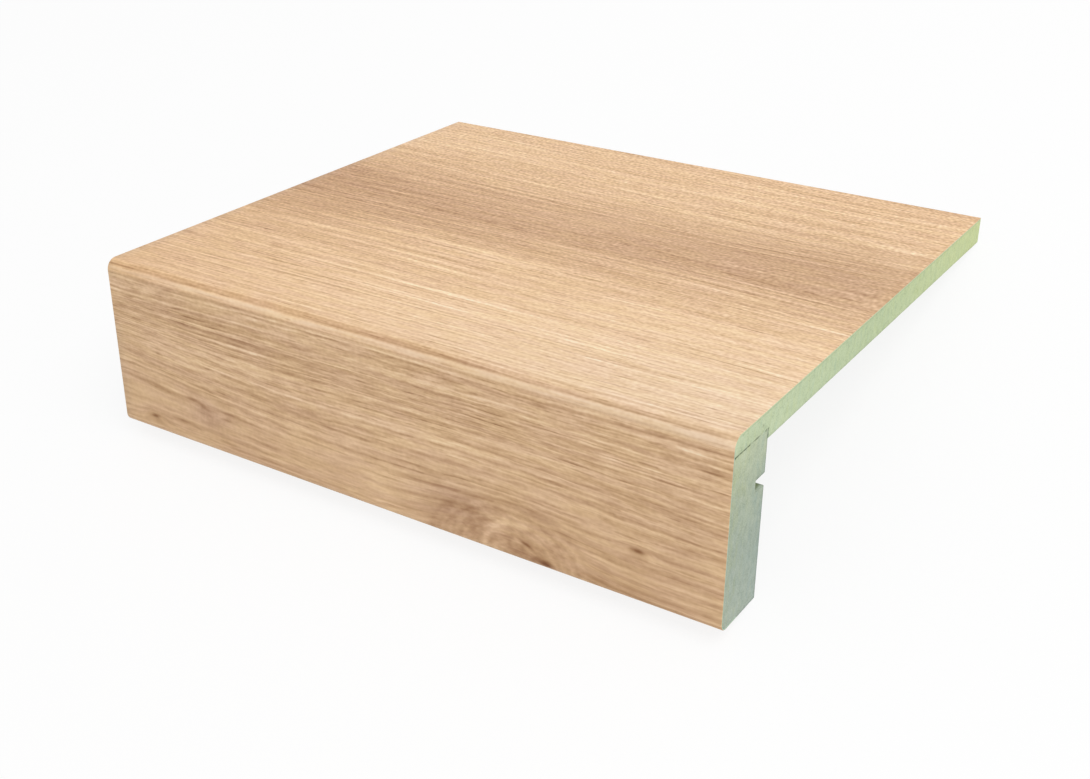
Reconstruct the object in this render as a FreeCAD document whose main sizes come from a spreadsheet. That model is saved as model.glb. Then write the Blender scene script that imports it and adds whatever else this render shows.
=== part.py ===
import FreeCAD, Part
import math
import os
import Sketcher

# Stair tread for laying over an old step: a flat fibre board, a thicker strip under its
# front edge and one sheet of decor laminate over the top, the nose and the front.
# The sections are drawn as the tread lies on a stair, with X along the nose, Y from front
# to back and Z up. The foot of the strip is at Z zero, the decor's front face at Y zero.

doc = FreeCAD.newDocument("stair_tread")
sizes = doc.addObject("Spreadsheet::Sheet", "sizes")

# Driving sizes in millimetres
driving = (
    ("tread_length", "214"),
    ("tread_depth", "187"),
    ("nosing_height", "56"),
    ("board_thickness", "8"),
    ("strip_thickness", "19"),
    ("laminate_thickness", "0.6"),
    ("rebate_depth", "3"),
    ("nose_radius", "3.5"),
    ("foot_radius", "2.8"),
    ("foot_return", "6"),
    ("groove_width", "3.6"),
    ("groove_depth", "5.3"),
    ("groove_height", "34.2"),
)

# Places that follow from them
following = (
    # Top face of the board, under the laminate
    ("board_top", "=nosing_height - laminate_thickness"),
    # Underside of the board, which lies on the old step
    ("board_under", "=board_top - board_thickness"),
    # Floor of the rebate, where the strip ends against the board
    ("joint_height", "=board_under + rebate_depth"),
    # Back face of the strip
    ("strip_back", "=laminate_thickness + strip_thickness"),
    # Roundings of the board and the strip, inside the laminate
    ("nose_core_radius", "=nose_radius - laminate_thickness"),
    ("foot_core_radius", "=foot_radius - laminate_thickness"),
    # End of the laminate under the foot
    ("return_end", "=foot_radius + foot_return"),
    # Floor and upper wall of the groove
    ("groove_floor", "=strip_back - groove_depth"),
    ("groove_top", "=groove_height + groove_width"),
    # Put down unheld, the tread leans back onto the board's rear lower edge
    ("rest_tilt", "=atan(board_under / (tread_depth - strip_back))"),
    ("front_reach", "=foot_radius * (cos(rest_tilt) + sin(rest_tilt) - 1)"),
    ("back_reach", "=tread_depth * cos(rest_tilt) + nosing_height * sin(rest_tilt)"),
    ("rest_shift", "=0 - (front_reach + back_reach) / 2"),
    ("rest_lift", "=strip_back * sin(rest_tilt)"),
)

for row, (alias, text) in enumerate(driving + following, start=1):
    sizes.set("A%d" % row, alias.replace("_", " "))
    sizes.set("B%d" % row, text)
    sizes.setAlias("B%d" % row, alias)
doc.recompute()


def size(alias):
    """The number in a cell, or zero for a side that lies on an axis."""
    return float(sizes.get(alias)) if alias else 0.0


def new_body(name):
    """An empty body, leaning as the tread rests, its lengthwise middle at X zero."""
    body = doc.addObject("PartDesign::Body", name)
    body.Label = name
    body.Placement = FreeCAD.Placement(
        FreeCAD.Vector(0, 0, 0),
        FreeCAD.Rotation(FreeCAD.Vector(-1, 0, 0), float(sizes.rest_tilt)),
    )
    body.setExpression("Placement.Rotation.Angle", "sizes.rest_tilt")
    body.setExpression("Placement.Base.y", "sizes.rest_shift")
    body.setExpression("Placement.Base.z", "sizes.rest_lift")
    return body


def section(body, name, corners):
    """A closed outline of level and upright sides across the tread.

    Each corner names the cells of its Y and Z, None on an axis, and of its rounding if any.
    """
    sketch = body.newObject("Sketcher::SketchObject", name)
    plane = [f for f in body.Origin.OriginFeatures if f.Role == "YZ_Plane"][0]
    sketch.AttachmentSupport = [(plane, "")]
    sketch.MapMode = "FlatFace"

    count = len(corners)
    points = [FreeCAD.Vector(size(y), size(z), 0) for y, z, _ in corners]
    rounds = [size(r) for _, _, r in corners]
    along = [(points[(i + 1) % count] - points[i]).normalize() for i in range(count)]

    # The straight sides, each shortened by the roundings at its ends
    for i in range(count):
        j = (i + 1) % count
        start = points[i] + along[i] * rounds[i]
        end = points[j] - along[i] * rounds[j]
        sketch.addGeometry(Part.LineSegment(start, end), False)

    def bind(constraint, label, alias):
        index = sketch.addConstraint(constraint)
        sketch.renameConstraint(index, label)
        sketch.setExpression("Constraints." + label, "sizes." + alias)

    for i in range(count):
        y, z, rounding = corners[i]
        before = (i - 1) % count

        # The corner itself, sharp or rounded
        if rounding:
            centre = points[i] + (along[i] - along[before]) * rounds[i]
            first = points[i] - along[before] * rounds[i] - centre
            last = points[i] + along[i] * rounds[i] - centre
            turns_left = first.cross(last).z > 0
            low, high = (first, last) if turns_left else (last, first)
            from_angle = math.atan2(low.y, low.x)
            to_angle = math.atan2(high.y, high.x)
            if to_angle < from_angle:
                to_angle += 2 * math.pi
            circle = Part.Circle(centre, FreeCAD.Vector(0, 0, 1), rounds[i])
            arc = sketch.addGeometry(Part.ArcOfCircle(circle, from_angle, to_angle), False)
            enters, leaves = (1, 2) if turns_left else (2, 1)
            sketch.addConstraint(Sketcher.Constraint("Tangent", before, 2, arc, enters))
            sketch.addConstraint(Sketcher.Constraint("Tangent", arc, leaves, i, 1))
            radius = Sketcher.Constraint("Radius", arc, rounds[i])
            bind(radius, "round_%d" % i, rounding)
        else:
            sketch.addConstraint(Sketcher.Constraint("Coincident", before, 2, i, 1))

        # The side that starts here, upright at its Y or level at its Z
        upright = corners[(i + 1) % count][0] == y
        sketch.addConstraint(Sketcher.Constraint("Vertical" if upright else "Horizontal", i))
        alias = y if upright else z
        if not alias:
            axis = -2 if upright else -1
            sketch.addConstraint(Sketcher.Constraint("PointOnObject", i, 1, axis))
            continue
        kind = "DistanceX" if upright else "DistanceY"
        distance = Sketcher.Constraint(kind, -1, 1, i, 1, size(alias))
        bind(distance, "side_%d" % i, alias)
    return sketch


def run_full_length(body, kind, name, sketch):
    """The section carried along the whole length, half to each side of its plane."""
    feature = body.newObject(kind, name)
    feature.Profile = sketch
    feature.Type = "Length"
    feature.SideType = "Symmetric"
    feature.setExpression("Length", "sizes.tread_length")
    sketch.Visibility = False
    return feature


# Flat board: rounded nose at the front, rebate for the strip on the underside
board = new_body("tread_board")
board_section = section(
    board,
    "board_section",
    (
        ("laminate_thickness", "board_under", None),
        ("tread_depth", "board_under", None),
        ("tread_depth", "board_top", None),
        ("laminate_thickness", "board_top", "nose_core_radius"),
    ),
)
run_full_length(board, "PartDesign::Pad", "board_blank", board_section)
rebate_section = section(
    board,
    "rebate_section",
    (
        ("laminate_thickness", "board_under", None),
        ("strip_back", "board_under", None),
        ("strip_back", "joint_height", None),
        ("laminate_thickness", "joint_height", None),
    ),
)
run_full_length(board, "PartDesign::Pocket", "strip_rebate", rebate_section)

# Front strip: seated in the rebate, rounded at the foot and let in there for the laminate
strip = new_body("nosing_strip")
strip_section = section(
    strip,
    "strip_section",
    (
        ("laminate_thickness", "laminate_thickness", "foot_core_radius"),
        ("return_end", "laminate_thickness", None),
        ("return_end", None, None),
        ("strip_back", None, None),
        ("strip_back", "joint_height", None),
        ("laminate_thickness", "joint_height", None),
    ),
)
run_full_length(strip, "PartDesign::Pad", "strip_blank", strip_section)
groove_section = section(
    strip,
    "groove_section",
    (
        ("groove_floor", "groove_height", None),
        ("strip_back", "groove_height", None),
        ("strip_back", "groove_top", None),
        ("groove_floor", "groove_top", None),
    ),
)
run_full_length(strip, "PartDesign::Pocket", "back_groove", groove_section)

# Decor laminate: one bent sheet from the back edge to just behind the foot
laminate = new_body("decor_laminate")
laminate_section = section(
    laminate,
    "laminate_section",
    (
        (None, None, "foot_radius"),
        ("return_end", None, None),
        ("return_end", "laminate_thickness", None),
        ("laminate_thickness", "laminate_thickness", "foot_core_radius"),
        ("laminate_thickness", "board_top", "nose_core_radius"),
        ("tread_depth", "board_top", None),
        ("tread_depth", "nosing_height", None),
        (None, "nosing_height", "nose_radius"),
    ),
)
run_full_length(laminate, "PartDesign::Pad", "laminate_sheet", laminate_section)

doc.recompute()

for item in doc.Objects:
    if "Invalid" in item.State or "Error" in item.State:
        raise RuntimeError("%s did not recompute: %s" % (item.Name, item.State))

os.makedirs("parts", exist_ok=True)
for body in (board, strip, laminate):
    if body.Shape.isNull() or not body.Shape.isValid():
        raise RuntimeError("%s has no valid shape" % body.Label)
    if len(body.Shape.Solids) != 1:
        raise RuntimeError("%s is not one solid" % body.Label)
    body.Shape.exportStep("parts/%s.step" % body.Label)
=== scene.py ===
import math
import random

import bpy
from mathutils import Matrix, Vector


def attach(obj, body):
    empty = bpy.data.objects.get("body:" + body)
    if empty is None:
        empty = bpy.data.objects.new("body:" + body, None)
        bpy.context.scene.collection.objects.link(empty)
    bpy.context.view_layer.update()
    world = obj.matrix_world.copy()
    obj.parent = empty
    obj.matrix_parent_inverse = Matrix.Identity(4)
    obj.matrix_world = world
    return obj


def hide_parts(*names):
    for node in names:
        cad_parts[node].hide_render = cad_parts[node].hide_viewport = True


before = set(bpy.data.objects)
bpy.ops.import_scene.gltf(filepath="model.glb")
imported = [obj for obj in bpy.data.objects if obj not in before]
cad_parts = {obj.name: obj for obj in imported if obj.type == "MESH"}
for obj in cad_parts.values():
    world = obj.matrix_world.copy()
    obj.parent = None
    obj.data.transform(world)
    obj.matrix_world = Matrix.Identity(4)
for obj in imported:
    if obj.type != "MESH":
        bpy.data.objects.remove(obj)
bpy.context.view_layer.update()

scene = bpy.context.scene

# Sizes in millimetres, as in the part's source
LENGTH = 214.0
DEPTH = 187.0
HEIGHT = 56.0
BOARD = 8.0
STRIP = 19.0
SKIN = 0.6
REBATE = 3.0
NOSE_R = 3.5
FOOT_R = 2.8
FOOT_RETURN = 6.0
GROOVE_W = 3.6
GROOVE_D = 5.3
GROOVE_Z = 34.2

# Places that follow from them
TOP = HEIGHT - SKIN
UNDER = TOP - BOARD
JOINT = UNDER + REBATE
BACK = SKIN + STRIP
RETURN_END = FOOT_R + FOOT_RETURN
GROOVE_FLOOR = BACK - GROOVE_D
GROOVE_TOP = GROOVE_Z + GROOVE_W
MM = 0.001

# The tread leans back as it rests unheld
TILT = math.atan(UNDER / (DEPTH - BACK))
COS = math.cos(TILT)
SIN = math.sin(TILT)
SHIFT = -(FOOT_R * (COS + SIN - 1) + DEPTH * COS + HEIGHT * SIN) / 2
LIFT = BACK * SIN


def place(x, y, z):
    """From the tread as it lies on a stair, in mm, to the stored frame, in metres."""
    return Vector((x, y * COS + z * SIN + SHIFT, -y * SIN + z * COS + LIFT)) * MM


# Meshes

# Steps of a rounding, by its radius
SMALL_RADIUS = 1.0
SMALL_STEPS = 3
LARGE_STEPS = 14

# Rounding of the fibre boards' long edges, length of the broken end edges, and depth of their breaks
LONG_EDGE = 0.2
END_EDGE = 0.12
BREAK_LEAST = 0.07
BREAK_SPREAD = 0.05
BREAK_AT_JOINT = 0.10

# The joint's deeper breaks: how near to it, and how far they end before the strip's back
JOINT_NEAR = 0.3
JOINT_SPARED = 3

# How far a break may run out at a sharp corner, and the angle that stays a hard edge
LEAST_COSINE = 0.4
HARD_ANGLE = math.radians(40)

# Divisions of the meshes: along the tread, and in mm round the section
BOARD_STATIONS = 12
SHEET_STATIONS = 48
BOARD_SPACING = 1.5
STRIP_SPACING = 1.0

# Divisions of the bent sheet from its back edge to its end
TOP_STEPS = 44
NOSE_STEPS = 18
FRONT_STEPS = 14
FOOT_STEPS = 16
RETURN_STEPS = 3

rng = random.Random(20)


def corner(before, at, after, radius, steps):
    """Points of a rounded corner of an outline."""
    a = (before - at).normalized()
    b = (after - at).normalized()
    half = a.angle(b) / 2
    reach = radius / math.tan(half)
    centre = at + (a + b).normalized() * (radius / math.sin(half))
    start = at + a * reach - centre
    end = at + b * reach - centre
    turn = start.angle_signed(end)
    return [centre + Matrix.Rotation(-turn * i / steps, 2) @ start for i in range(steps + 1)]


def outline(corners, spacing):
    """A closed outline from (y, z, radius) corners, with its straight runs divided."""
    points = [Vector((y, z)) for y, z, _ in corners]
    count = len(points)
    bits = []
    for i in range(count):
        radius = corners[i][2]
        bit = [points[i]]
        if radius:
            steps = SMALL_STEPS if radius < SMALL_RADIUS else LARGE_STEPS
            bit = corner(points[i - 1], points[i], points[(i + 1) % count], radius, steps)
        bits.append(bit)
    loop = []
    for i in range(count):
        loop += bits[i]
        start = bits[i][-1]
        end = bits[(i + 1) % count][0]
        parts = max(1, round((end - start).length / spacing))
        loop += [start.lerp(end, k / parts) for k in range(1, parts)]
    return loop


def inset(loop, amounts):
    """The outline moved inwards by an amount at each point; it runs anticlockwise."""
    count = len(loop)
    moved = []
    for i in range(count):
        a = (loop[i] - loop[i - 1]).normalized()
        b = (loop[(i + 1) % count] - loop[i]).normalized()
        inward_a = Vector((-a.y, a.x))
        inward_b = Vector((-b.y, b.x))
        middle = (inward_a + inward_b).normalized()
        moved.append(loop[i] + middle * (amounts[i] / max(LEAST_COSINE, middle.dot(inward_a))))
    return moved


def stations(count):
    """Places along the tread: both ends, and even steps between the broken end edges."""
    half = LENGTH / 2
    run = LENGTH - 2 * END_EDGE
    inner = [-half + END_EDGE + run * i / count for i in range(count + 1)]
    return [-half] + inner + [half]


def sweep(name, loop, breaks, count, caps):
    """A solid of one section along the tread, its end edges broken."""
    xs = stations(count)
    n = len(loop)
    last = len(xs) - 1
    verts = []
    for k, x in enumerate(xs):
        ring = loop
        if k in (0, last):
            ring = inset(loop, [breaks(point) for point in loop])
        verts += [place(x, point.x, point.y) for point in ring]
    faces = []
    for k in range(last):
        for i in range(n):
            j = (i + 1) % n
            faces.append((k * n + i, k * n + j, (k + 1) * n + j, (k + 1) * n + i))
    for cap in caps:
        faces.append(tuple(reversed(cap)))
        faces.append(tuple(last * n + i for i in cap))
    mesh = bpy.data.meshes.new(name)
    mesh.from_pydata(verts, [], faces)
    mesh.validate()
    mesh.polygons.foreach_set("use_smooth", [True] * len(mesh.polygons))
    mesh.set_sharp_from_angle(angle=HARD_ANGLE)
    obj = bpy.data.objects.new(name, mesh)
    scene.collection.objects.link(obj)
    return obj, xs


def breaks_plain(point):
    """Depth of the break at a point of an end edge, a little uneven."""
    return BREAK_LEAST + BREAK_SPREAD * rng.random()


def breaks_joint(point):
    """Deeper breaks where the end edges of board and strip meet."""
    near = abs(point.y - JOINT) < JOINT_NEAR and point.x < BACK - JOINT_SPARED
    return breaks_plain(point) + (BREAK_AT_JOINT if near else 0.0)


board_loop = outline(
    [
        (SKIN, JOINT, 0),
        (BACK, JOINT, 0),
        (BACK, UNDER, LONG_EDGE),
        (DEPTH, UNDER, LONG_EDGE),
        (DEPTH, TOP, 0),
        (SKIN, TOP, NOSE_R - SKIN),
    ],
    BOARD_SPACING,
)
board, _ = sweep("board", board_loop, breaks_joint, BOARD_STATIONS, [range(len(board_loop))])

strip_loop = outline(
    [
        (SKIN, SKIN, FOOT_R - SKIN),
        (RETURN_END, SKIN, 0),
        (RETURN_END, 0, 0),
        (BACK, 0, LONG_EDGE),
        (BACK, GROOVE_Z, LONG_EDGE),
        (GROOVE_FLOOR, GROOVE_Z, 0),
        (GROOVE_FLOOR, GROOVE_TOP, 0),
        (BACK, GROOVE_TOP, LONG_EDGE),
        (BACK, JOINT, 0),
        (SKIN, JOINT, 0),
    ],
    STRIP_SPACING,
)
strip, _ = sweep("front_strip", strip_loop, breaks_joint, BOARD_STATIONS, [range(len(strip_loop))])


def sheet_lines():
    """Outer and inner points of the laminate from the back edge to the foot, with the arc length."""
    outer = []
    inner = []
    way = []

    def run(start, end, outward, count, so_far):
        """A straight stretch; returns the arc length at its end."""
        length = (end - start).length
        for i in range(count):
            point = start.lerp(end, i / count)
            outer.append(point)
            inner.append(point - outward * SKIN)
            way.append(so_far + length * i / count)
        return so_far + length

    def bend(centre, radius, first, last, count, so_far):
        """A rounding from one angle to another; returns the arc length at its end."""
        for i in range(count):
            angle = first + (last - first) * i / count
            outward = Vector((math.cos(angle), math.sin(angle)))
            outer.append(centre + outward * radius)
            inner.append(centre + outward * (radius - SKIN))
            way.append(so_far + radius * abs(angle - first))
        return so_far + radius * abs(last - first)

    up = Vector((0, 1))
    forward = Vector((-1, 0))
    down = Vector((0, -1))
    nose_start = Vector((NOSE_R, HEIGHT))
    nose_centre = Vector((NOSE_R, HEIGHT - NOSE_R))
    nose_end = Vector((0, HEIGHT - NOSE_R))
    foot_start = Vector((0, FOOT_R))
    foot_centre = Vector((FOOT_R, FOOT_R))
    foot_end = Vector((FOOT_R, 0))
    end = Vector((RETURN_END, 0))
    s = run(Vector((DEPTH, HEIGHT)), nose_start, up, TOP_STEPS, 0.0)
    s = bend(nose_centre, NOSE_R, math.pi / 2, math.pi, NOSE_STEPS, s)
    s = run(nose_end, foot_start, forward, FRONT_STEPS, s)
    s = bend(foot_centre, FOOT_R, math.pi, 1.5 * math.pi, FOOT_STEPS, s)
    s = run(foot_end, end, down, RETURN_STEPS, s)
    outer.append(end)
    inner.append(end - down * SKIN)
    way.append(s)
    return outer, inner, way


outer, inner, way = sheet_lines()
m = len(outer)
sheet_loop = outer + inner[::-1]
sheet_caps = [(i, i + 1, 2 * m - 2 - i, 2 * m - 1 - i) for i in range(m - 1)]
laminate, sheet_xs = sweep("oak_laminate", sheet_loop, breaks_plain, SHEET_STATIONS, sheet_caps)

# Depth in the sheet: 0 on its printed face, 1 on its glued face
depth = laminate.data.attributes.new("depth", "FLOAT", "POINT")
depth.data.foreach_set("value", ([0.0] * m + [1.0] * m) * len(sheet_xs))

# Grain map: millimetres along the tread and along the bent sheet
arc = way + way[::-1]
grain = laminate.data.uv_layers.new(name="grain")
per_ring = len(sheet_loop)
for poly in laminate.data.polygons:
    for index in poly.loop_indices:
        vertex = laminate.data.loops[index].vertex_index
        grain.data[index].uv = (sheet_xs[vertex // per_ring] + LENGTH / 2, arc[vertex % per_ring])

# Materials

# Sockets of Blender's colour mix node
MIX_SHARE = 0
MIX_FIRST = 6
MIX_SECOND = 7
MIX_RESULT = 2

# How far apart two seeds of noise lie
SEED_X = 7.31
SEED_Y = 3.77


class Val:
    """A socket in a node tree that takes part in sums, products and noise."""

    def __init__(self, tree, socket):
        self.tree = tree
        self.socket = socket

    def fed(self, node_type, kind, others):
        """A new node of a kind, with this value and the others on its inputs."""
        node = self.tree.nodes.new(node_type)
        node.operation = kind
        for pin, item in zip(node.inputs, (self, *others)):
            feed(self.tree, item, pin)
        return node

    def op(self, kind, *others):
        node = self.fed("ShaderNodeMath", kind, others)
        return Val(self.tree, node.outputs[0])

    def vector_op(self, kind, *others):
        node = self.fed("ShaderNodeVectorMath", kind, others)
        return Val(self.tree, node.outputs["Value" if kind == "DOT_PRODUCT" else "Vector"])

    def __add__(self, other):
        return self.op("ADD", other)

    def __sub__(self, other):
        return self.op("SUBTRACT", other)

    def __rsub__(self, other):
        return self.op("MULTIPLY_ADD", -1.0, other)

    def __mul__(self, other):
        return self.op("MULTIPLY", other)

    def step(self, low, high):
        """Smooth rise from 0 at low to 1 at high."""
        node = self.tree.nodes.new("ShaderNodeMapRange")
        node.interpolation_type = "SMOOTHSTEP"
        feed(self.tree, self, node.inputs["Value"])
        node.inputs["From Min"].default_value = low
        node.inputs["From Max"].default_value = high
        return Val(self.tree, node.outputs["Result"])

    def ramp(self, stops):
        """A colour ramp over stops of (place, grey or colour)."""
        node = self.tree.nodes.new("ShaderNodeValToRGB")
        feed(self.tree, self, node.inputs[0])
        bar = node.color_ramp
        while len(bar.elements) < len(stops):
            bar.elements.new(0.5)
        for element, (at, colour) in zip(bar.elements, stops):
            element.position = at
            element.color = (*colour, 1) if isinstance(colour, tuple) else (colour,) * 3 + (1,)
        return Val(self.tree, node.outputs["Color"])


def feed(tree, item, pin):
    """Puts a value or a plain number on an input."""
    if isinstance(item, Val):
        tree.links.new(item.socket, pin)
    else:
        pin.default_value = item


def noise(x, y, seed, detail, rough=0.5, z=None):
    """Noise around zero over two or three values."""
    tree = x.tree
    join = tree.nodes.new("ShaderNodeCombineXYZ")
    feed(tree, x + seed * SEED_X, join.inputs[0])
    feed(tree, y + seed * SEED_Y, join.inputs[1])
    node = tree.nodes.new("ShaderNodeTexNoise")
    node.noise_dimensions = "2D"
    if z is not None:
        node.noise_dimensions = "3D"
        feed(tree, z, join.inputs[2])
    tree.links.new(join.outputs[0], node.inputs["Vector"])
    node.inputs["Scale"].default_value = 1.0
    node.inputs["Detail"].default_value = detail
    node.inputs["Roughness"].default_value = rough
    return Val(tree, node.outputs["Fac"]) - 0.5


def patches(u, v, size, seed, detail, rough=0.5):
    """Noise around zero in patches of a size in mm, along and across the grain."""
    return noise(u * (1 / size[0]), v * (1 / size[1]), seed, detail, rough)


def fall(x):
    """1 at zero, falling off as e to the minus x."""
    node = x.tree.nodes.new("ShaderNodeMath")
    node.operation = "POWER"
    node.inputs[0].default_value = 1 / math.e
    feed(x.tree, x, node.inputs[1])
    return Val(x.tree, node.outputs[0])


def bell(x, at, reach):
    """1 at a place, falling off over its reach."""
    a = (x - at) * (1 / reach)
    return fall(a * a)


# Pairs of coordinates that are already joined
JOINED = {}


def joined(u, v, lean):
    """Two coordinates as one vector, with the lean of the grain taken out."""
    if (u, v, lean) not in JOINED:
        join = u.tree.nodes.new("ShaderNodeCombineXYZ")
        feed(u.tree, u, join.inputs[0])
        feed(u.tree, v - u * lean if lean else v, join.inputs[1])
        JOINED[u, v, lean] = Val(u.tree, join.outputs[0])
    return JOINED[u, v, lean]


def far_from(u, v, at, reach, lean=0.0):
    """Square of the distance from a place, counted in its reach along and across the grain."""
    per_mm = (1 / reach[0], 1 / reach[1], 0)
    start = (-at[0] / reach[0], (at[0] * lean - at[1]) / reach[1], 0)
    off = joined(u, v, lean).vector_op("MULTIPLY_ADD", per_mm, start)
    return off.vector_op("DOT_PRODUCT", off)


def hump(u, v, at, reach, lean=0.0):
    """1 at a place, falling off over its reach along and across the grain."""
    return fall(far_from(u, v, at, reach, lean))


def linear(*rgb):
    """Linear light of a colour in levels of 255, by the sRGB curve."""
    return tuple((c / 255 / 12.92) if c < 11 else ((c / 255 + 0.055) / 1.055) ** 2.4 for c in rgb)


def mixed(kind, share, first, second):
    """Two colours mixed by a share."""
    tree = share.tree
    node = tree.nodes.new("ShaderNodeMix")
    node.data_type = "RGBA"
    node.blend_type = kind
    feed(tree, share, node.inputs[MIX_SHARE])
    for item, pin in ((first, node.inputs[MIX_FIRST]), (second, node.inputs[MIX_SECOND])):
        if isinstance(item, tuple):
            pin.default_value = (*item, 1)
        else:
            feed(tree, item, pin)
    return Val(tree, node.outputs[MIX_RESULT])


def new_material(name, rough, shine):
    mat = bpy.data.materials.new(name)
    mat.use_nodes = True
    bsdf = mat.node_tree.nodes["Principled BSDF"]
    bsdf.inputs["Roughness"].default_value = rough
    bsdf.inputs["Specular IOR Level"].default_value = shine
    return mat, mat.node_tree, bsdf


def bumped(tree, bsdf, height, strength, distance):
    """Fine relief of a surface, its distance in metres."""
    node = tree.nodes.new("ShaderNodeBump")
    node.inputs["Strength"].default_value = strength
    node.inputs["Distance"].default_value = distance
    feed(tree, height, node.inputs["Height"])
    tree.links.new(node.outputs[0], bsdf.inputs["Normal"])


# Oak print

# Brightness of the print: a tone of 0 to 1 stands for levels 90 to 240 of 255
LOWEST = 90.0
LEVEL = 1 / 150
RAMP_LEVELS = (90, 120, 150, 175, 200, 220, 240)

# Colour of the print: red lies so far above its level and blue below it, less in pale wood
SPREAD = 39.4
PALE_FROM = 200
PALE_LOSS = 0.15

# Green moves with the level, up to a limit, so that pale wood is yellower
YELLOW_FROM = 183
YELLOW_RATE = 0.07
YELLOW_LIMIT = 1.6


def tone_at(level):
    return (level - LOWEST) * LEVEL


def oak_colour(level):
    """Colour of the print at a level: its dark grain is pinker and its pale wood yellower."""
    spread = SPREAD - max(0, level - PALE_FROM) * PALE_LOSS
    yellow = min(YELLOW_LIMIT, (level - YELLOW_FROM) * YELLOW_RATE)
    return linear(min(255, level + spread), level - 1 + yellow, level - spread - 3)


# Levels down the sheet, in mm from its back edge: a dark band across the top, then the nose, whose pale band
# is a painted highlight, and the front
TOP_LEVELS = [
    (0, 188), (10, 196), (34, 196), (52, 189), (70, 177), (80, 171), (94, 171), (106, 179), (128, 195),
    (150, 199), (183.5, 198),
]
FRONT_LEVELS = [
    (183.5, 198), (184.3, 198), (185.3, 180), (186.3, 181), (187, 205), (187.8, 208), (188.7, 192),
    (189.6, 187), (194, 187), (202, 182), (214, 187), (226, 185), (240, 175), (249, 170),
]

# Where the sheet turns from the top's print to the front's, and where the front's figure sets in
NOSE_STARTS = 183.6
FRONT_STARTS = (188.2, 189.4)
FIGURE_STARTS = (191, 207)

# Lean of the top's grain lines at the left and right end, down the sheet; a ramp holds no value below zero
LEAN_BASE = 0.05
LEFT_LEANS = [
    (0, 0.03), (34, 0.035), (50, 0.085), (66, 0.075), (82, 0), (110, -0.01), (125, 0), (150, 0.015), (164, 0),
]
RIGHT_LEANS = [
    (0, 0.05), (34, 0.05), (50, 0.02), (66, -0.04), (80, -0.01), (94, 0.07), (108, 0.05), (124, 0.025),
    (164, 0),
]

# Bends of the front's grain: place and reach on the sheet, and mm that its lines rise there
BENDS = [
    # Wide and narrow arch over the large knot
    ((135, 212.5), (75, 15), 4.2),
    ((150, 243), (23, 14), 7.5),
    # Left end
    ((-6, 217), (60, 17), 6.5),
    # Small knot at the left and pin knot at the right
    ((13.5, 235.8), (4.5, 1.8), 1.6),
    ((189.2, 225.3), (4.5, 1.6), 1.3),
]

# Waviness of the grain in mm: long and short sway, and ripples on the top and the front
LONG_SWAY = 2.0
SHORT_SWAY = 0.5
RIPPLES = (0.3, 0.4)

# Wandering of the broad tone in mm on the top and the front
TOP_WANDER = 10.0
FRONT_WANDER = 5.0

# Levels that the tone gains from left to right: at the back of the top, from its band on, and on the front.
# From the band on, the top's rise to the right is a painted sheen, and the front's fall to the right is
# painted shade against the lamp's light
BACK_SLOPE = -6.0
MIDDLE_SLOPE = 12.0
FRONT_SLOPE = -3.5

# Streaks and flecks: seed, detail, then for top and front the patches per mm along and across, and levels
WIDE_STREAKS = (4, 1, (1 / 190, 1 / 190), (1 / 6.0, 1 / 6.0), (17, 11))
MID_STREAKS = (5, 1.5, (1 / 150, 1 / 100), (1 / 2.3, 1 / 2.3), (28, 31))
FINE_STREAKS = (6, 0.5, (1 / 110, 1 / 75), (1 / 0.9, 1 / 0.9), (37, 52))
FLECKS = (7, 1.5, (0.18, 0.14), (0.83, 0.95), (28, 50))

# Levels of threads, pores and specks on the top and the front, and what is added to even them out
PALE_THREADS = (20, 12)
DARK_THREADS = (15, 12)
PORES = (18, 24)
FINE_PORES = (26, 18)
SPECKLE = (60, 58)
SPECKLE_LOSS_PER_MM = 0.21
EVENED = (1.6, 0.6)

# Levels of the burls' blotches and rings, and how much of the plain grain they take away
BLOTCHES = 52.0
RINGS = 40.0
RINGS_PER_REACH = 12.0
BURL_CALM = 0.72

# Levels of the nose's dark line, and how much calmer the grain lies and shows there
NOSE_LINE = 11
NOSE_STRAIGHT = 0.8
NOSE_EVEN = 0.15

# Calm stretches of the front: place, reach and share
CALM = [
    ((15, 229.5), (17, 4.5), 0.42),
    ((85, 230), (32, 4), 0.3),
]

# Dark arcs of the large knot, by place and width in shares of its reach, and levels of its pale crescent
ARCS = [
    (0.95, 0.05, 14.0),
    (0.79, 0.04, 8.0),
    (0.86, 0.16, 6.0),
]
CRESCENT = 17.0

# Large knot at the foot of the front, its heart, and the burl at the left: place, reach, and a share
LARGE_KNOT = ((150, 241.5), (28, 18.5))
KNOT_HEART = ((153, 239.3), (12, 10))
LEFT_BURL = ((40, 230), (10, 5), 0.8)
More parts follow.
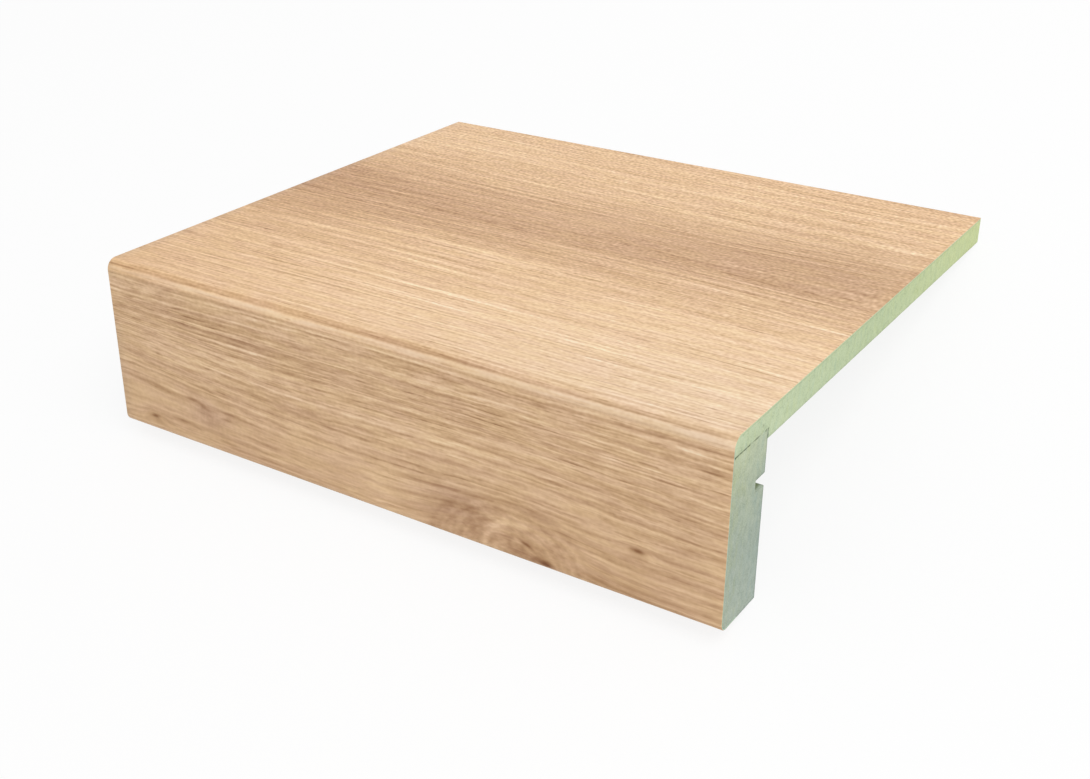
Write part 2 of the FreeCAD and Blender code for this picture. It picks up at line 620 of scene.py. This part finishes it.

# Shades of the print, with painted shade at the top's left: place and reach on the sheet in mm, levels darker
# or, below zero, paler, and lean
SHADES = [
    # Dark and pale stretches of the top, its left darker as painted shade, clouds and a dash in its band
    ((196, 68), (42, 13), 15, 0),
    ((30, 88), (45, 9), 6, 0),
    ((55, 41.5), (75, 5), 10, 0.02),
    ((10, 52), (40, 4), 6, 0.05),
    ((40, 81), (45, 3), 7, 0),
    ((202, 89), (14, 5), 13, 0),
    ((75, 109), (35, 4), -6, 0),
    ((192, 109), (35, 4), 7, 0),
    ((75, 136), (30, 4), -6, 0),
    ((145, 151), (25, 4), -6, 0),
    ((180, 165), (30, 4), -6, 0),
    ((80, 130), (32, 3), -6, 0),
    ((95, 94), (20, 3), -5, 0),
    ((40, 157.5), (40, 3), 5, 0),
    ((0, 140), (55, 55), 6, 0),
    ((130, 84), (15, 3.5), 6, 0.02),
    ((178, 88), (17, 4), 6, 0.02),
    ((140.5, 68), (3, 0.8), 16, 0),
    # Long thin lines of the top, dark and pale
    ((178, 66.5), (38, 0.5), 13, -0.06),
    ((182, 69), (36, 0.5), -7, -0.05),
    ((22, 103.7), (24, 0.45), 11, 0.005),
    ((63, 106), (20, 0.45), 10, 0.01),
    ((28, 60.2), (30, 0.5), -8, 0.115),
    ((88, 63.5), (24, 0.5), -8, 0.13),
    ((125, 63.5), (18, 0.5), -7, 0),
    ((20, 44), (26, 0.5), -8, 0.012),
    # Pale and dull stretches of the front
    ((90, 222), (38, 1.8), -8, 0),
    ((84, 228), (24, 2), -8, 0),
    ((105.5, 234), (7, 7), -12, 0),
    ((9, 228), (12, 2), -8, 0),
    ((6, 234), (5, 2), -9, 0),
    ((68, 219), (8, 1.5), 6, 0),
    ((168, 225), (14, 1.6), 8, 0),
    ((191, 238), (14, 2.2), 19, 0),
    ((74, 225), (12, 1.5), -8, 0),
    ((64, 231), (12, 1.5), 6, 0),
    ((12, 231), (12, 1.5), -6, 0),
    ((38, 237), (5, 1.5), -8, 0),
    ((5, 236.5), (6, 1.9), -11, 0),
    ((204, 222.5), (12, 3.5), 11, 0),
    ((39, 218.5), (6, 1.2), -6, 0),
    ((139, 237), (4, 2), 16, 0),
    ((90, 237.3), (34, 1.9), -7, 0),
    ((129, 233.8), (4, 1.9), -10, 0),
    ((129, 228.3), (5, 1.4), 7, 0),
    ((128, 225), (6, 1.4), -7, 0),
    ((199, 225), (6, 1.5), 8, 0),
    # Long thin lines of the front, dark and pale
    ((78.5, 218), (14, 0.45), 12, 0.047),
    ((53.5, 215.8), (6, 0.45), 10, 0.06),
    ((96, 224), (20, 1.2), 14, 0),
    ((90, 214.2), (28, 0.45), -8, 0),
    # Large knot: left lobe, core, pale streak, cracks and the patches at its right
    ((129, 228.8), (11.5, 6.3), 17, 0.3),
    ((139, 231.5), (4, 2.8), 12, 0),
    ((157, 238.3), (8.5, 4.2), 20, 0),
    ((159.5, 236.3), (3, 1.0), -16, 0.3),
    ((155.3, 235.2), (2.1, 0.6), 56, 0.35),
    ((149.7, 236.5), (0.7, 2.6), 12, 0),
    ((161.8, 239.2), (2.0, 1.0), 62, 0),
    ((158.4, 238.4), (1.2, 0.8), 22, 0),
    ((152, 238.5), (2.0, 1.0), 14, 0),
    ((171, 236), (6, 2.5), -7, 0),
    ((180, 236), (3.5, 3.5), 9, 0),
    ((188, 236.5), (3, 3), 6, 0),
    # Pin knot and its dark surround
    ((189.4, 225.3), (2.0, 0.62), 72, 0),
    ((189.2, 225.3), (5, 1.6), 12, 0),
    # Left figure: slanting streaks, a patch and a small knot
    ((12.5, 223.9), (14, 1.1), 22, 0.12),
    ((31.5, 225), (2.5, 0.6), 34, 0.1),
    ((36, 226.4), (1.8, 0.7), 30, 0.3),
    ((47.5, 226.1), (4, 0.5), 40, 0),
    ((38, 229.5), (6, 4), 17, 0.3),
    ((46, 228.5), (3, 0.5), 30, 0),
    ((26.5, 234), (3.5, 0.5), 32, 0),
    ((13.7, 235.7), (1.7, 0.6), 52, -0.12),
    ((13.5, 235.8), (5, 2), 9, 0),
    ((62, 232.7), (5, 0.4), 25, 0),
    ((46, 236.5), (5, 0.5), 19, 0.04),
    ((37.5, 220), (2.2, 0.6), 16, 0.05),
    ((33, 235.1), (1.5, 0.5), 15, 0.2),
]

# Colours in levels of 255: the painted highlight along the nose, and the sheet's cut edges at the top and at
# the front
NOSE_HIGHLIGHT = (238, 211, 182)
TOP_EDGE_COLOUR = (197, 212, 172)
FRONT_EDGE_COLOUR = (174, 195, 174)


def ramp_down(place_on_sheet, stops):
    """A value that changes down the sheet, from stops of (mm, value)."""
    first = stops[0][0]
    run = stops[-1][0] - first
    share = (place_on_sheet - first) * (1 / run)
    return share.ramp([((at - first) / run, value) for at, value in stops])


def levels_down(place_on_sheet, levels):
    return ramp_down(place_on_sheet, [(at, tone_at(level)) for at, level in levels])


def lean_down(v, leans):
    return ramp_down(v, [(at, lean + LEAN_BASE) for at, lean in leans]) - LEAN_BASE


def pore_rows(u, line, spacing, run, dash, seed):
    """Dark rows of pores, one to each ring, that taper out along their run and break into dashes."""
    count = line * (1 / spacing) + noise(line * (0.22 / spacing), u * (1 / 160), seed, 1) * 2.2
    number = count.op("FLOOR")
    off = (count - number - 0.4) * (1 / 0.2)
    strength = noise(u * (1 / run), number * 5.3, seed + 1, 1).step(-0.16, 0.22)
    dashes = noise(u * (1 / dash), number * 3.1, seed + 2, 1).step(-0.10, 0.16)
    return (strength * (dashes * 0.6 + 0.4) - off * off * 0.8).step(0.02, 0.9)


def threads(u, line, size, thinness, gap_size, gaps, seed):
    """Thin wavy lines where a noise passes zero, with gaps in them."""
    course = bell(patches(u, line, size, seed, 0.6), 0.0, thinness)
    return course * patches(u, line, gap_size, seed + 1, 1).step(*gaps)


def oak_decor():
    mat, tree, bsdf = new_material("oak_decor", rough=0.5, shine=0.25)
    maps = tree.nodes.new("ShaderNodeUVMap")
    maps.uv_map = "grain"
    split = tree.nodes.new("ShaderNodeSeparateXYZ")
    tree.links.new(maps.outputs[0], split.inputs[0])
    u = Val(tree, split.outputs[0])
    v = Val(tree, split.outputs[1])
    front = v.step(*FRONT_STARTS)
    below = v.step(*FIGURE_STARTS)

    def amount(on_top, on_front):
        """A number that changes from the top to the front."""
        if on_top == on_front:
            return on_top
        return front * (on_front - on_top) + on_top

    # Lie of the grain: it sags across the top's band, straightens at the nose and bends on the front
    left_lean = lean_down(v, LEFT_LEANS)
    right_lean = lean_down(v, RIGHT_LEANS)
    drift = left_lean * u + (right_lean - left_lean) * u * u * (0.5 / LENGTH)
    sway = patches(u, v, (120, 45), seed=1, detail=1) * LONG_SWAY
    sway = sway + patches(u, v, (42, 13), seed=2, detail=1) * SHORT_SWAY
    ripple = patches(u, v, (8, 3), seed=12, detail=1) * amount(*RIPPLES)
    calm = 1.0 - bell(v, at=187.0, reach=3.0) * NOSE_STRAIGHT
    flow = v - drift
    for at, reach, rise in BENDS:
        flow = flow + hump(u, v, at, reach) * rise * below
    line = flow + (sway + ripple) * calm

    # The large knot's rim and rings, which are faint at its right, and where the wood is burled
    rim = far_from(u, v, *LARGE_KNOT).op("SQRT")
    faint_right = u.step(182, 158) * 0.7 + 0.3
    burl = rim.step(1.08, 0.8) + hump(u, v, LEFT_BURL[0], LEFT_BURL[1]) * LEFT_BURL[2]

    # Broad tone across the sheet, with painted light in its slope: a sheen brighter to the right of the top,
    # shade to the right of the front
    wander = patches(u, v, (85, 26), seed=3, detail=1.5) * TOP_WANDER * (1.0 - v.step(150, 182))
    back_tone = levels_down(v + wander, TOP_LEVELS)
    wander = patches(u, v, (60, 14), seed=13, detail=1) * FRONT_WANDER * below
    front_tone = levels_down(flow + wander, FRONT_LEVELS)
    tone = back_tone + (front_tone - back_tone) * v.op("GREATER_THAN", NOSE_STARTS)
    slope = (v.step(30, 75) * (MIDDLE_SLOPE - BACK_SLOPE) + BACK_SLOPE) * (1.0 - front) + front * FRONT_SLOPE
    tone = tone + (u - LENGTH / 2) * (LEVEL / LENGTH) * slope

    def streaks(seed, detail, along, across, levels):
        return noise(u * amount(*along), line * amount(*across), seed, detail) * amount(*levels)

    # Streaks from wide to fine, thin threads, rows of pores and finer rows between them
    lines = streaks(*WIDE_STREAKS) + streaks(*MID_STREAKS) + streaks(*FINE_STREAKS)
    pale = threads(u, line, (170, 3.4), thinness=0.03, gap_size=(60, 5), gaps=(-0.1, 0.2), seed=9)
    dark = threads(u, line, (150, 4.2), thinness=0.025, gap_size=(40, 5), gaps=(-0.05, 0.2), seed=16)
    lines = lines + pale * amount(*PALE_THREADS) - dark * amount(*DARK_THREADS)
    pores = pore_rows(u, line, spacing=2.2, run=34, dash=10, seed=20) * amount(*PORES)
    fine_pores = pore_rows(u, line, spacing=1.25, run=12, dash=4.0, seed=30) * amount(*FINE_PORES)
    lines = lines - pores - fine_pores + amount(*EVENED)

    # Short flecks, specks, and blotches in the burls
    flecks = streaks(*FLECKS)
    speckle = amount(*SPECKLE) - v * SPECKLE_LOSS_PER_MM
    specks = patches(u, line, (1.3, 0.8), seed=8, detail=0) * speckle
    blotch = patches(u, v, (4.5, 2.2), seed=19, detail=2.5, rough=0.6) * BLOTCHES
    rings = noise(u * (1 / 5), rim * RINGS_PER_REACH, seed=21, detail=1.5) * RINGS
    blotch = blotch + rings * faint_right

    # The grain is calmer on the nose, towards the foot, in the burls and in two stretches of the front
    even = 1.0 - bell(v, at=187.6, reach=1.1) * NOSE_EVEN
    fade = front * (0.2 - v.step(192, 240) * 0.5) + 1.0
    plain = 1.0 - burl * BURL_CALM
    for at, reach, share in CALM:
        plain = plain - hump(u, v, at, reach) * share
    plain = plain * fade
    tone = tone + ((lines + flecks) * plain + specks + blotch * burl) * even * LEVEL

    # Broken dark line along the nose
    seam = bell(v, at=186.35, reach=0.25) * patches(u, v, (14, 5), seed=25, detail=1).step(-0.15, 0.2)
    tone = tone - seam * (NOSE_LINE * LEVEL)

    # Pale crescent left of the large knot's heart, the knot's dark arcs, then the placed shades
    crescent = bell(far_from(u, v, *KNOT_HEART).op("SQRT"), at=0.95, reach=0.12)
    shades = 0.0 - crescent * u.step(160, 152) * CRESCENT
    for at, reach, darker in ARCS:
        shades = shades + bell(rim, at, reach) * darker * faint_right
    for at, reach, darker, lean in SHADES:
        shades = hump(u, v, at, reach, lean).op("MULTIPLY_ADD", darker, shades)
    tone = tone - shades * LEVEL
    colour = tone.ramp([(tone_at(level), oak_colour(level)) for level in RAMP_LEVELS])

    # Tints of the print: where they lie and what they multiply it by
    warmth = patches(u, line, (18, 3), seed=14, detail=2).step(-0.2, 0.2)
    top = 1.0 - front
    tints = (
        # Yellower and pinker patches
        (warmth, (1.0, 1.0, 0.945)),
        (1.0 - warmth, (1.0, 0.99, 1.0)),
        # Painted sheen: cooler to the right of the top, most in its front corner
        (u * (1 / LENGTH) * v.step(0, 70) * top, (0.97, 1.0, 1.04)),
        (hump(u, v, (214, 183), (110, 36)) * top, (0.96, 1.0, 1.08)),
        # The top's band and the whole front
        (bell(v, at=84, reach=22), (1.0, 0.996, 1.035)),
        (front, (0.962, 0.997, 1.045)),
        # Mauve in the large knot's lobe and in the left figure
        (hump(u, v, (131, 230), (12, 8)) + hump(u, v, (38, 229), (9, 5)), (0.98, 0.98, 1.05)),
    )
    for share, tint in tints:
        colour = mixed("MULTIPLY", share, colour, tint)

    # Painted highlight on the nose's rounding, a pale line stronger to the right and broken
    nose_highlight = bell(v, at=187.5, reach=0.75) * (u.step(0, 40) * 0.25 + 0.2)
    nose_highlight = nose_highlight * patches(u, v, (14, 0.9), seed=26, detail=2).step(-0.3, 0.15)
    colour = mixed("MIX", nose_highlight, colour, linear(*NOSE_HIGHLIGHT))

    # The cut edges show the sheet's own green
    depth = tree.nodes.new("ShaderNodeAttribute")
    depth.attribute_name = "depth"
    core = Val(tree, depth.outputs["Fac"]).step(0.04, 0.12)
    edge = mixed("MIX", front, linear(*TOP_EDGE_COLOUR), linear(*FRONT_EDGE_COLOUR))
    colour = mixed("MIX", core, colour, edge)
    tree.links.new(colour.socket, bsdf.inputs["Base Color"])

    # Dark grain is a little rougher, and all of it has a fine relief
    tree.links.new((0.60 - tone * 0.14).socket, bsdf.inputs["Roughness"])
    bumped(tree, bsdf, patches(u, v, (9, 0.6), seed=40, detail=1), strength=0.15, distance=0.0002)
    return mat


# Fibre board

# Colours in levels of 255, in mm from the board's front edge and up from the strip's foot; their rise towards
# the board's back and the strip's top is partly the boards' own colour and partly painted light
BOARD_COLOURS = [(0, (201, 215, 179)), (90, (195, 210, 169)), (DEPTH, (210, 220, 165))]
STRIP_COLOURS = [(0, (177, 188, 175)), (20, (169, 181, 167)), (36, (177, 188, 167)), (JOINT, (191, 201, 170))]

# Dark specks by the glue line, and a dark mark down the back joint: place and reach on the cut end in mm, and
# share
SPECKS = [
    ((0.9, JOINT - 0.1), (0.4, 0.35), 0.5),
    ((18.2, JOINT - 0.1), (0.55, 0.4), 0.55),
    ((BACK + 0.1, JOINT - 0.2), (0.35, 0.7), 0.5),
    ((BACK, 48.4), (0.5, 1.0), 0.6),
    ((16.2, JOINT + 2.1), (0.5, 0.4), 0.5),
]

# How far the clouds shift the colour in mm, and the share of mottle and fibres in the dark and pale marks
CLOUD_REACH = 14.0
MOTTLE = 0.9
FIBRES = 1.6

# What a darker or tinted part of the board is multiplied by, and the light that pale fibres add
GREYER = (0.90, 0.945, 1.0)
YELLOWER = (1.0, 0.99, 0.88)
DARK_FIBRES = (0.67, 0.705, 0.67)
PALE_FIBRES = (0.16, 0.15, 0.13)
DENSE_SKIN = (0.64, 0.66, 0.66)
GLUE = (0.20, 0.24, 0.20)
# Painted shade on the groove's lower wall
GROOVE_SHADE = (0.50, 0.53, 0.34)


def lie(tree):
    """Places on a piece in mm, with the tread level as on its stair."""
    coords = tree.nodes.new("ShaderNodeTexCoord")
    split = tree.nodes.new("ShaderNodeSeparateXYZ")
    tree.links.new(coords.outputs["Object"], split.inputs[0])
    x, y, z = (Val(tree, split.outputs[i]) * (1 / MM) for i in range(3))
    y = y - SHIFT
    z = z - LIFT
    return x, y * COS - z * SIN, y * SIN + z * COS


def fibreboard(name, run, stops, tint, skin):
    """Green fibreboard: mottled, shifting in colour along a run partly as painted light, darker in its dense
    skins and glue line, and with painted shade on its groove's lower wall.
    """
    mat, tree, bsdf = new_material(name, rough=0.85, shine=0.15)
    x, y, z = lie(tree)
    cloud = noise(x * 0.1, y * 0.16, seed=5, detail=2, rough=0.5, z=z * 0.12) * CLOUD_REACH
    colour = ramp_down(run(y, z) + cloud, [(at, linear(*rgb)) for at, rgb in stops])

    # Streaks of greyer and yellower green
    streak = noise(x * 0.3, y * 0.55, seed=3, detail=2, rough=0.6, z=z * 0.17) + tint(y, z)
    colour = mixed("MULTIPLY", streak.step(0.0, 0.3), colour, GREYER)
    colour = mixed("MULTIPLY", streak.step(0.0, -0.3), colour, YELLOWER)

    # Dark and pale fibres, then the dense skins
    mottle = noise(x * 0.5, y * 0.5, seed=1, detail=2, rough=0.6, z=z * 0.4) * MOTTLE
    fibres = noise(x * 2.6, y * 2.9, seed=2, detail=2, rough=0.65, z=z * 2.1) * FIBRES + mottle
    colour = mixed("MULTIPLY", fibres.step(0.08, -0.6), colour, DARK_FIBRES)
    colour = mixed("SCREEN", fibres.step(0.0, 0.55), colour, PALE_FIBRES)
    colour = mixed("MULTIPLY", skin(y, z), colour, DENSE_SKIN)

    # Glue line between the board and the strip, thin behind its middle, and dark specks
    spread = y.step(9.8, 8.6) * 0.68 + bell(y, 12.9, 1.5) * 0.65 + y.step(16.2, 15.0) * 0.2
    glue = bell(z, JOINT, reach=0.23) * spread * (noise(y * 0.7, z * 0.3, seed=4, detail=1) + 1.0)
    for at, reach, share in SPECKS:
        glue = glue + hump(y, z, at, reach) * share
    colour = mixed("MULTIPLY", glue.step(0.0, 1.0), colour, GLUE)

    # The groove's lower wall, darkened away from the tread's ends as painted shade
    inside = x.op("ABSOLUTE").step(LENGTH / 2 - 0.3, LENGTH / 2 - 1.6)
    wall = bell(z, GROOVE_Z, 0.1) * inside * y.step(BACK, BACK - 0.6)
    colour = mixed("MULTIPLY", wall, colour, GROOVE_SHADE)
    tree.links.new(colour.socket, bsdf.inputs["Base Color"])
    bumped(tree, bsdf, fibres, strength=0.3, distance=0.0003)
    return mat


def along_board(y, z):
    return y


def up_strip(y, z):
    return z


def board_tint(y, z):
    """The board is as green all through."""
    return 0.0


def strip_tint(y, z):
    """The strip is greyer towards its back."""
    return (y - 10.0) * 0.018


def board_skin(y, z):
    """Dense top and underside of the board."""
    return bell(z, TOP, 0.35) * 0.32 + bell(z, UNDER, 0.4) * 0.5


def strip_skin(y, z):
    """Dense back and foot of the strip, and a darker band along the upper wall of its groove."""
    groove = bell(z, GROOVE_TOP, 0.5) * y.step(GROOVE_FLOOR - 0.3, GROOVE_FLOOR + 0.3)
    return bell(y, BACK, 0.5) * 0.9 + bell(z, 0.0, 0.5) * 0.7 + groove * 0.9


laminate.data.materials.append(oak_decor())
board.data.materials.append(fibreboard("green_board", along_board, BOARD_COLOURS, board_tint, board_skin))
strip.data.materials.append(fibreboard("green_strip", up_strip, STRIP_COLOURS, strip_tint, strip_skin))

for obj, node, slot in (
    (laminate, "decor_laminate", "oak_decor"),
    (board, "tread_board", "green_fibreboard"),
    (strip, "nosing_strip", "green_fibreboard"),
):
    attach(obj, "root")
    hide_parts(node)

# Stage, light and camera

# Half the floor's width in metres, its grey, and how much of it shows as plain white
FLOOR = 6.0
FLOOR_GREY = 0.95
FLOOR_GLOW = 0.86
SKY_STRENGTH = 0.64

# The one lamp: place, aim and size in metres, and power in watts
LAMP_AT = Vector((0.72, -0.08, 1.42))
LAMP_AIM = Vector((0, 0, 0.03))
LAMP_SIZE = 1.0
LAMP_POWER = 10.6

# The photo's camera: place, directions to its right, up and back, lens in mm and shift of the picture
CAMERA_AT = Vector((0.2285892, -0.3053366, 0.2878299))
CAMERA_RIGHT = Vector((0.83530482, 0.52889495, -0.15011992))
CAMERA_UP = Vector((-0.24269485, 0.59972709, 0.76251336))
CAMERA_BACK = Vector((0.49332045, -0.60049776, 0.62931501))
CAMERA_LENS = 47.3427
CAMERA_SHIFT = (0.022086, 0.001681)

corners = [(-FLOOR, -FLOOR, 0), (FLOOR, -FLOOR, 0), (FLOOR, FLOOR, 0), (-FLOOR, FLOOR, 0)]
floor_mesh = bpy.data.meshes.new("floor")
floor_mesh.from_pydata(corners, [], [(0, 1, 2, 3)])
floor = bpy.data.objects.new("floor", floor_mesh)
scene.collection.objects.link(floor)


def shown_to_eye(tree):
    """1 for rays from the camera, a mirror or a glass, else 0."""
    path = tree.nodes.new("ShaderNodeLightPath")
    shown = Val(tree, path.outputs["Is Camera Ray"])
    for kind in ("Is Glossy Ray", "Is Transmission Ray"):
        shown = shown.op("MAXIMUM", Val(tree, path.outputs[kind]))
    return shown


def mixed_surface(tree, output, share, first, second):
    """Two shaders mixed by a share, on the tree's output."""
    mix = tree.nodes.new("ShaderNodeMixShader")
    feed(tree, share, mix.inputs[0])
    tree.links.new(first.outputs[0], mix.inputs[1])
    tree.links.new(second.outputs[0], mix.inputs[2])
    out = tree.nodes.new(output)
    tree.links.new(mix.outputs[0], out.inputs["Surface"])


# The floor shows as near white and keeps the shadow
floor_material = bpy.data.materials.new("floor")
floor_material.use_nodes = True
floor_tree = floor_material.node_tree
floor_tree.nodes.clear()
diffuse = floor_tree.nodes.new("ShaderNodeBsdfDiffuse")
diffuse.inputs["Color"].default_value = (FLOOR_GREY, FLOOR_GREY, FLOOR_GREY, 1)
glow = floor_tree.nodes.new("ShaderNodeEmission")
glow.inputs["Strength"].default_value = 1.0
mixed_surface(
    floor_tree, "ShaderNodeOutputMaterial", shown_to_eye(floor_tree) * FLOOR_GLOW, diffuse, glow
)
floor_mesh.materials.append(floor_material)

# The world lights the tread softly and shows as white
world = bpy.data.worlds.new("studio")
scene.world = world
world.use_nodes = True
sky_tree = world.node_tree
sky_tree.nodes.clear()
sky = sky_tree.nodes.new("ShaderNodeBackground")
sky.inputs["Color"].default_value = (1, 1, 1, 1)
sky.inputs["Strength"].default_value = SKY_STRENGTH
white = sky_tree.nodes.new("ShaderNodeBackground")
white.inputs["Color"].default_value = (1, 1, 1, 1)
mixed_surface(sky_tree, "ShaderNodeOutputWorld", shown_to_eye(sky_tree), sky, white)

light = bpy.data.lights.new("key", "AREA")
light.shape = "SQUARE"
light.size = LAMP_SIZE
light.energy = LAMP_POWER
lamp = bpy.data.objects.new("key", light)
lamp.location = LAMP_AT
lamp.rotation_mode = "QUATERNION"
lamp.rotation_quaternion = (LAMP_AIM - LAMP_AT).to_track_quat("-Z", "Y")
scene.collection.objects.link(lamp)

cam_data = bpy.data.cameras.new("camera")
cam_data.sensor_width = 36.0
cam_data.lens = CAMERA_LENS
cam_data.shift_x = CAMERA_SHIFT[0]
cam_data.shift_y = CAMERA_SHIFT[1]
cam_data.clip_start = 0.01
camera = bpy.data.objects.new("camera", cam_data)
scene.collection.objects.link(camera)
turn = Matrix((CAMERA_RIGHT, CAMERA_UP, CAMERA_BACK)).transposed().to_4x4()
camera.matrix_world = Matrix.Translation(CAMERA_AT) @ turn
scene.camera = camera
scene.view_settings.view_transform = "Standard"
